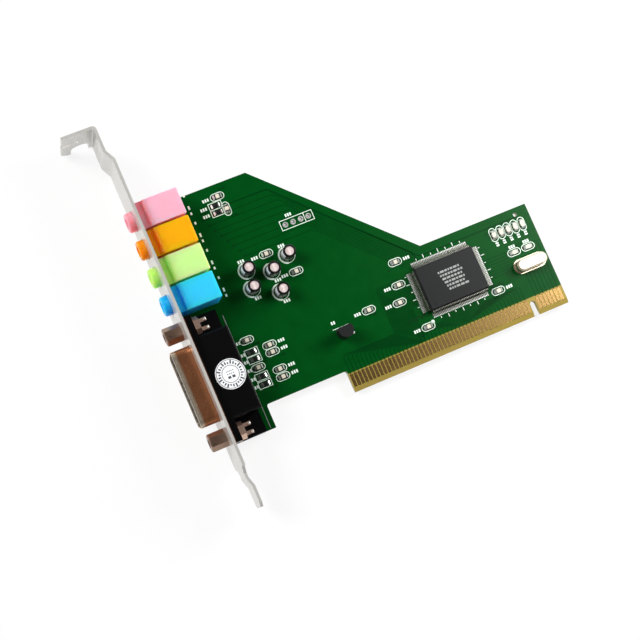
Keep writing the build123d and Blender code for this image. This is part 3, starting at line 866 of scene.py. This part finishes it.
contacts = islands("edge_contacts_front")
contact_x = [middle(box).x for box in contacts]
CONTACT_OVERLAP = 0.2
LEAD_GAP = 0.2
contact_top = contacts[0][1].y - CONTACT_OVERLAP
ROW_LOW = 6.2
ROW_PITCH = 0.3
COMB_COUNT = 19
COMB_START = 60.5
COMB_PITCH = 0.45
COMB_LAST_FOOT = 2
for i in range(COMB_COUNT):
    row = ROW_LOW + ROW_PITCH * (COMB_COUNT - 1 - i)
    column = COMB_START + COMB_PITCH * i
    lead = feet["left"][-COMB_LAST_FOOT - i]
    trace([(contact_x[i], contact_top), (contact_x[i], row), (column, row), (column, lead),
           (leads_low.x - LEAD_GAP, lead)])
LOWER_COUNT = 29
LOWER_FIRST_FOOT = 4
LOWER_TURN = 12
LOWER_SQUEEZE = 0.85
for i in range(LOWER_COUNT):
    start = contact_x[COMB_COUNT + i]
    lead = feet["lower"][LOWER_FIRST_FOOT + i]
    rank = LOWER_TURN - 1 - i if i < LOWER_TURN else (i - LOWER_TURN) * LOWER_SQUEEZE
    row = ROW_LOW + ROW_PITCH * rank
    trace([(start, contact_top), (start, row), (lead, row), (lead, leads_low.y - LEAD_GAP)])
RIGHT_FIRST_FOOT = 3
RIGHT_FOOT_STEP = 2
for i, start in enumerate(contact_x[COMB_COUNT + LOWER_COUNT:]):
    lead = feet["right"][RIGHT_FIRST_FOOT + RIGHT_FOOT_STEP * i]
    trace([(start, contact_top), (start, lead), (leads_high.x + LEAD_GAP, lead)])


# Copper lines along the slanting edge: a wide one next to it, then those from the chip to the jacks

SLANT = Vector((-0.7114, 0.7028))
INWARD = Vector((-SLANT.y, SLANT.x))
SLANT_FOOT = Vector((78.9, 33.6))
BUNDLE_COUNT = 9
BUNDLE_INSET = 2.2
BUNDLE_PITCH = 0.75
BUNDLE_LENGTH = 50.0
BUNDLE_SHORTEN = 2.2
BUNDLE_FIRST_FOOT = 3
BUNDLE_END = 19.0
BUNDLE_END_STEP = 1.1
WIDE_LINE = 0.4
WIDE_END = 20.0
WIDE_TAIL = 34.0
WIDE_DROP = 0.6
for i in range(BUNDLE_COUNT):
    inset = BUNDLE_INSET + BUNDLE_PITCH * i
    begin = SLANT_FOOT + INWARD * inset
    far = begin + SLANT * (BUNDLE_LENGTH - BUNDLE_SHORTEN * i)
    if i == 0:
        row = begin.y - inset * WIDE_DROP
        trace([(begin.x + WIDE_TAIL, row), (begin.x, row), far, (WIDE_END, far.y)], WIDE_LINE)
        continue
    lead = feet["upper"][BUNDLE_FIRST_FOOT + i]
    meet = begin + SLANT * ((lead - begin.x) / SLANT.x)
    end = BUNDLE_END + BUNDLE_END_STEP * i
    trace([(lead, leads_high.y + LEAD_GAP), (lead, meet.y), far, (end, far.y)])
    via(end, far.y)


# Copper lines of the solder side, from the back contacts and between the leads

back_contacts = islands("edge_contacts_back")
back_top = back_contacts[0][1].y - CONTACT_OVERLAP

# First contact, the one after the last, and where the columns start
FAN_GROUPS = ((4, 16, 66.0), (18, 34, 80.0), (36, 46, 92.0))
FAN_LOW = 7.4
FAN_PITCH = 0.55
FAN_COLUMN = 0.7
FAN_TOP = 13.0
FAN_STAGGER = 0.35
FAN_CYCLE = 3
for first, last, column in FAN_GROUPS:
    for i, box in enumerate(back_contacts[first:last]):
        start = middle(box).x
        target = column + FAN_COLUMN * i
        row = FAN_LOW + FAN_PITCH * (i if start > target else last - first - 1 - i)
        rise = FAN_TOP + FAN_STAGGER * (i % FAN_CYCLE)
        trace_under([(start, back_top), (start, row), (target, row), (target, rise)])
        via(target, rise)
UNDER_NODES = ("jack_terminals", "capacitor_leads", "regulator_leads")
UNDER_WIDTH = 0.5
for node in UNDER_NODES:
    spots = [middle(box) for box in islands(node) if box[0].z < BOARD_UNDER]
    spots.sort(key=lambda spot: (round(spot.y), spot.x))
    for here, there in zip(spots[::2], spots[1::2]):
        if (here - there).length >= JOINT_RADIUS * 2:
            trace_under([(here.x, here.y), (there.x, here.y), (there.x, there.y)], UNDER_WIDTH)


# Header holes: tinned rims inside a printed box

HEADER_X = 46.6
HEADER_Y = 54.9
HEADER_PITCH = 2.54
HEADER_PINS = 4
HEADER_LONG = 10.6
HEADER_WIDE = 3.0
HEADER_LABEL_LEFT = 0.6
HEADER_LABEL_UP = 2.6
RIM_RADIUS = 0.7
RIM_LINE = 0.36
RIM_POINTS = 20
header_x = [HEADER_X + HEADER_PITCH * (i - (HEADER_PINS - 1) / 2) for i in range(HEADER_PINS)]
for x in header_x:
    rim = circle(x, HEADER_Y, RIM_RADIUS, RIM_POINTS)
    solder.strip(rim, RIM_LINE, BOARD_TOP, PAD_TOP, True)
    solder.strip(rim, RIM_LINE, PAD_UNDER, BOARD_UNDER, True)
ink_line(rectangle(HEADER_X, HEADER_Y, HEADER_LONG, HEADER_WIDE), True)
divide = header_x[-1] - HEADER_PITCH / 2
ink_line([(divide, HEADER_Y - HEADER_WIDE / 2), (divide, HEADER_Y + HEADER_WIDE / 2)])
ink_label(header_x[1] - HEADER_LABEL_LEFT, HEADER_Y + HEADER_LABEL_UP, LONG_LABEL)


# Printed marks beside the jacks, the regulator and the port

jack_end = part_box("jack_housing_pink")[1].x / MM

# Place as a share of the jack's width, and length
JACK_MARKS = ((0.15, 0.8), (0.38, 1.2), (0.86, 0.8))
JACK_MARK_OUT = 2.9
JACK_MARK_LINE = 0.55
for colour in ("pink", "orange", "green", "blue"):
    low, high = (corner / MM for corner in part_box(f"jack_housing_{colour}"))
    for share, long in JACK_MARKS:
        ink_bar(jack_end + JACK_MARK_OUT, low.y + (high.y - low.y) * share, JACK_MARK_LINE, long)

regulator_low, regulator_high = (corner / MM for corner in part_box("regulator_body"))
FLAT_LINE_OUT = 0.45
FLAT_LINE_OVER = 0.3
REGULATOR_LABEL_RIGHT = 0.6
REGULATOR_LABEL_UP = 2.0
BEAD_ROWS = (-0.7, 0.9)
BEAD_OUT = 0.75
BEAD_TURNS = 14

# Radius and height of a small bead of solder
BEAD_STEPS = ((0, 0.0), (0.45, 0.0), (0.36, 0.12), (0, 0.18))
flat_y = regulator_high.y + FLAT_LINE_OUT
ink_line([(regulator_low.x - FLAT_LINE_OVER, flat_y), (regulator_high.x + FLAT_LINE_OVER, flat_y)])
ink_label(regulator_low.x + REGULATOR_LABEL_RIGHT, flat_y + REGULATOR_LABEL_UP, SHORT_LABEL)
bead = [(radius, BOARD_TOP + rise) for radius, rise in BEAD_STEPS]
for offset in BEAD_ROWS:
    centre = (regulator_high.x + BEAD_OUT, (regulator_low.y + regulator_high.y) / 2 + offset)
    solder.lathe(bead, centre, BEAD_TURNS)

# The line beside the port is print in a dimmer grey copy of the board's ink: painted shade of the port
# block.
grey = Shape()
body_low, body_high = (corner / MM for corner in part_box("port_body"))
PORT_LINE = 0.25
PORT_LINE_OUT = 1.95
PORT_LINE_FOOT = 0.6
PORT_LINE_HEAD = 2.2
line_x = body_high.x + PORT_LINE_OUT
grey.strip([(line_x, body_low.y + PORT_LINE_FOOT), (line_x, body_high.y - PORT_LINE_HEAD)],
           PORT_LINE, BOARD_TOP, INK_TOP)
grey.make("port_outline", SHADED_INK, "sticker_paper")

copper.make("copper_lines", COPPER, "solder_mask")
ink.make("board_print", INK, "sticker_paper")
solder.make("solder_joints", SOLDER, "tinned_metal")
holes.make("via_mouths", HOLE_SHADE, "solder_mask")


# Sticker: plain rings, dashes and bars

sticker_low, sticker_high = (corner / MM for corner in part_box("port_sticker"))
sticker_x = (sticker_low.x + sticker_high.x) / 2
sticker_y = (sticker_low.y + sticker_high.y) / 2
sticker_centre = Vector((sticker_x, sticker_y))
sticker_radius = (sticker_high.x - sticker_low.x) / 2
PRINT_THICK = 0.02
PRINT_TOP = sticker_high.z + PRINT_THICK
STICKER_RINGS = (0.93, 0.56)
STICKER_RING_LINE = 0.16
STICKER_RING_POINTS = 64
DASHES = 26
DASH_LINE = 0.42
DASH_INNER = 0.66
DASH_OUTERS = (0.78, 0.84, 0.90)

# Height of the row above the centre, count, pitch and size of its bars
STICKER_ROWS = ((0.9, 5, 0.5, 0.3), (0.1, 4, 0.6, 0.34), (-0.9, 2, 1.3, 0.9))
STICKER_BAR_TALL = 0.8
pattern = Shape()
for share in STICKER_RINGS:
    ring = circle(sticker_x, sticker_y, sticker_radius * share, STICKER_RING_POINTS)
    pattern.strip(ring, STICKER_RING_LINE, sticker_high.z, PRINT_TOP, True)
for i in range(DASHES):
    angle = FULL_TURN * i / DASHES
    outward = Vector((math.cos(angle), math.sin(angle))) * sticker_radius
    shares = (DASH_INNER, DASH_OUTERS[i % len(DASH_OUTERS)])
    dash = [sticker_centre + outward * share for share in shares]
    pattern.strip(dash, DASH_LINE, sticker_high.z, PRINT_TOP)
for rise, count, pitch, size in STICKER_ROWS:
    for i in range(count):
        along = (i - (count - 1) / 2) * pitch
        pattern.bar(sticker_x + along, sticker_y + rise, size, size * STICKER_BAR_TALL,
                    sticker_high.z, PRINT_TOP)
pattern.make("sticker_pattern", PRINT, "sticker_paper")


# Ground straps: the rounded bends at the ends of their forks, in a paler tin than the straps, a painted
# highlight

bends = Shape()
TIP_SLACK = 0.05
TIP_DIGITS = 2
BEND_RADIUS = 0.5
BEND_RISE = 0.3
BEND_TURNS = 16

# Shares of the bend's radius and of its rise
BEND_STEPS = ((0, 0.0), (1.0, 0.0), (0.8, 0.6), (0.4, 0.92), (0, 1.0))
for node in ("ground_strap_upper", "ground_strap_lower"):
    mesh = nodes[node].data
    far = max(vertex.co.x for vertex in mesh.vertices) / MM
    tips = [vertex.co / MM for vertex in mesh.vertices if vertex.co.x / MM > far - TIP_SLACK]
    crown = max(tip.z for tip in tips)
    edges = sorted({round(tip.y, TIP_DIGITS) for tip in tips if tip.z > crown - TIP_SLACK})
    for low, high in zip(edges[::2], edges[1::2]):
        radius = min(BEND_RADIUS, (high - low) / 2)
        profile = [(radius * across, crown + BEND_RISE * up) for across, up in BEND_STEPS]
        bends.lathe(profile, (far - radius, (low + high) / 2), BEND_TURNS)
bends.make("strap_bends", BEND_HIGHLIGHT, "tinned_metal", True)


# Game port: the socket tubes in the front insulator

front_low, front_high = (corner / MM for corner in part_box("port_insulator"))
port_y = (front_low.y + front_high.y) / 2
port_z = (front_low.z + front_high.z) / 2
SOCKET_PITCH = 2.77

# Count of the row and its height above the middle of the port
SOCKET_ROWS = ((8, 1.42), (7, -1.42))
SOCKET_OUTER = 0.52
SOCKET_INNER = 0.34
SOCKET_TURNS = 14
SOCKET_SET_BACK = 0.25
SOCKET_END = 2.2
socket_front = front_low.x + SOCKET_SET_BACK
socket_back = front_low.x + SOCKET_END
socket_section = ((socket_back, SOCKET_OUTER), (socket_front, SOCKET_OUTER),
                  (socket_front, SOCKET_INNER), (socket_back, SOCKET_INNER))
socket = Shape()
for count, rise in SOCKET_ROWS:
    for i in range(count):
        y = port_y + SOCKET_PITCH * (i - (count - 1) / 2)
        z = port_z + rise
        first = len(socket.corners)
        for x, reach in socket_section:
            socket.corners += [(x, a, b) for a, b in circle(y, z, reach, SOCKET_TURNS)]
        for ring in range(SECTION):
            here = first + ring * SOCKET_TURNS
            there = first + (ring + 1) % SECTION * SOCKET_TURNS
            for step in range(SOCKET_TURNS):
                after = (step + 1) % SOCKET_TURNS
                socket.faces.append([here + step, here + after, there + after, there + step])
socket.make("port_sockets", BRASS, "gold_contact", True)


# Floor: matt white that keeps the shadow, and mostly plain white where it is seen

scene = bpy.context.scene
scene.view_settings.view_transform = "Standard"
FLOOR_SIZE = 6.0
FLOOR_DROP = 0.00005
FLOOR_COLOUR = (0.95, 0.95, 0.95, 1)
WHITE = (1, 1, 1, 1)
FLOOR_GLOW = 0.85
bpy.ops.mesh.primitive_plane_add(size=FLOOR_SIZE, location=(0, 0, cad_low.z - FLOOR_DROP))
floor = bpy.context.object
floor.name = "floor"
paper = bpy.data.materials.new("floor_white")
paper.use_nodes = True
tree = paper.node_tree
tree.nodes.clear()
output = tree.nodes.new("ShaderNodeOutputMaterial")
matt = tree.nodes.new("ShaderNodeBsdfDiffuse")
matt.inputs["Color"].default_value = FLOOR_COLOUR
plain = tree.nodes.new("ShaderNodeEmission")
plain.inputs["Color"].default_value = WHITE
rays = tree.nodes.new("ShaderNodeLightPath")
seen = calculate(tree, "MAXIMUM", rays.outputs["Is Camera Ray"], rays.outputs["Is Glossy Ray"])
seen = calculate(tree, "MAXIMUM", seen, rays.outputs["Is Transmission Ray"])
both = tree.nodes.new("ShaderNodeMixShader")
tree.links.new(calculate(tree, "MULTIPLY", seen, FLOOR_GLOW), both.inputs["Fac"])
tree.links.new(matt.outputs["BSDF"], both.inputs[1])
tree.links.new(plain.outputs["Emission"], both.inputs[2])
tree.links.new(both.outputs["Shader"], output.inputs["Surface"])
floor.data.materials.append(paper)


# World: white at the horizon, darker overhead, each step a height and a level

SKY_STEPS = ((0.0, 0.95), (0.10, 0.36), (0.95, 0.06))
SKY_STRENGTH = 1.0
world = bpy.data.worlds.new("studio")
scene.world = world
world.use_nodes = True
tree = world.node_tree
background = tree.nodes["Background"]
place = tree.nodes.new("ShaderNodeTexCoord")
parts = tree.nodes.new("ShaderNodeSeparateXYZ")
tree.links.new(place.outputs["Generated"], parts.inputs["Vector"])
sky = tree.nodes.new("ShaderNodeValToRGB")
stops = sky.color_ramp.elements
stops[0].position = SKY_STEPS[0][0]
stops[1].position = SKY_STEPS[-1][0]
stops.new(SKY_STEPS[1][0])
for stop, (height, level) in zip(stops, SKY_STEPS):
    stop.color = (level, level, level, 1)
tree.links.new(parts.outputs["Z"], sky.inputs["Fac"])
tree.links.new(sky.outputs["Color"], background.inputs["Color"])
background.inputs["Strength"].default_value = SKY_STRENGTH


# Lamps: name, place and size in metres, and power in watts

CARD_CENTRE = Vector((50, 35, 0)) * MM
LAMPS = (
    ("key_light", (-0.66, 0.60, 0.80), 0.56, 14.0),
    ("side_light", (0.24, 0.05, 0.14), 0.12, 0.62),
    ("panel_light", (0.45, 0.13, 0.80), 0.20, 0.34),
)
for name, place, size, power in LAMPS:
    light = bpy.data.lights.new(name, "AREA")
    light.shape = "SQUARE"
    light.size = size
    light.energy = power
    holder = bpy.data.objects.new(name, light)
    holder.location = place
    holder.visible_camera = False
    holder.rotation_mode = "QUATERNION"
    holder.rotation_quaternion = (CARD_CENTRE - Vector(place)).to_track_quat("-Z", "Y")
    scene.collection.objects.link(holder)


# Camera, fitted to the photograph

CAMERA_PLACE = Vector((-60.0, -20.0, 450.0)) * MM
CAMERA_AIM = Vector((40.85, 24.13, 0.0)) * MM
CAMERA_ROLL = math.radians(-23.50)
CAMERA_LENS = 86.8
SENSOR_WIDTH = 36.0
CLIP_START = 0.005
CLIP_END = 20.0
camera_data = bpy.data.cameras.new("camera")
camera = bpy.data.objects.new("camera", camera_data)
scene.collection.objects.link(camera)
scene.camera = camera
camera_data.lens = CAMERA_LENS
camera_data.sensor_width = SENSOR_WIDTH
camera_data.clip_start = CLIP_START
camera_data.clip_end = CLIP_END
look = (CAMERA_AIM - CAMERA_PLACE).normalized()
level = look.cross(Vector((0, 1, 0))).normalized()
upward = level.cross(look)
right = level * math.cos(CAMERA_ROLL) + upward * math.sin(CAMERA_ROLL)
up = right.cross(look)
camera.matrix_world = Matrix((
    (right.x, up.x, -look.x, CAMERA_PLACE.x),
    (right.y, up.y, -look.y, CAMERA_PLACE.y),
    (right.z, up.z, -look.z, CAMERA_PLACE.z),
    (0, 0, 0, 1),
))
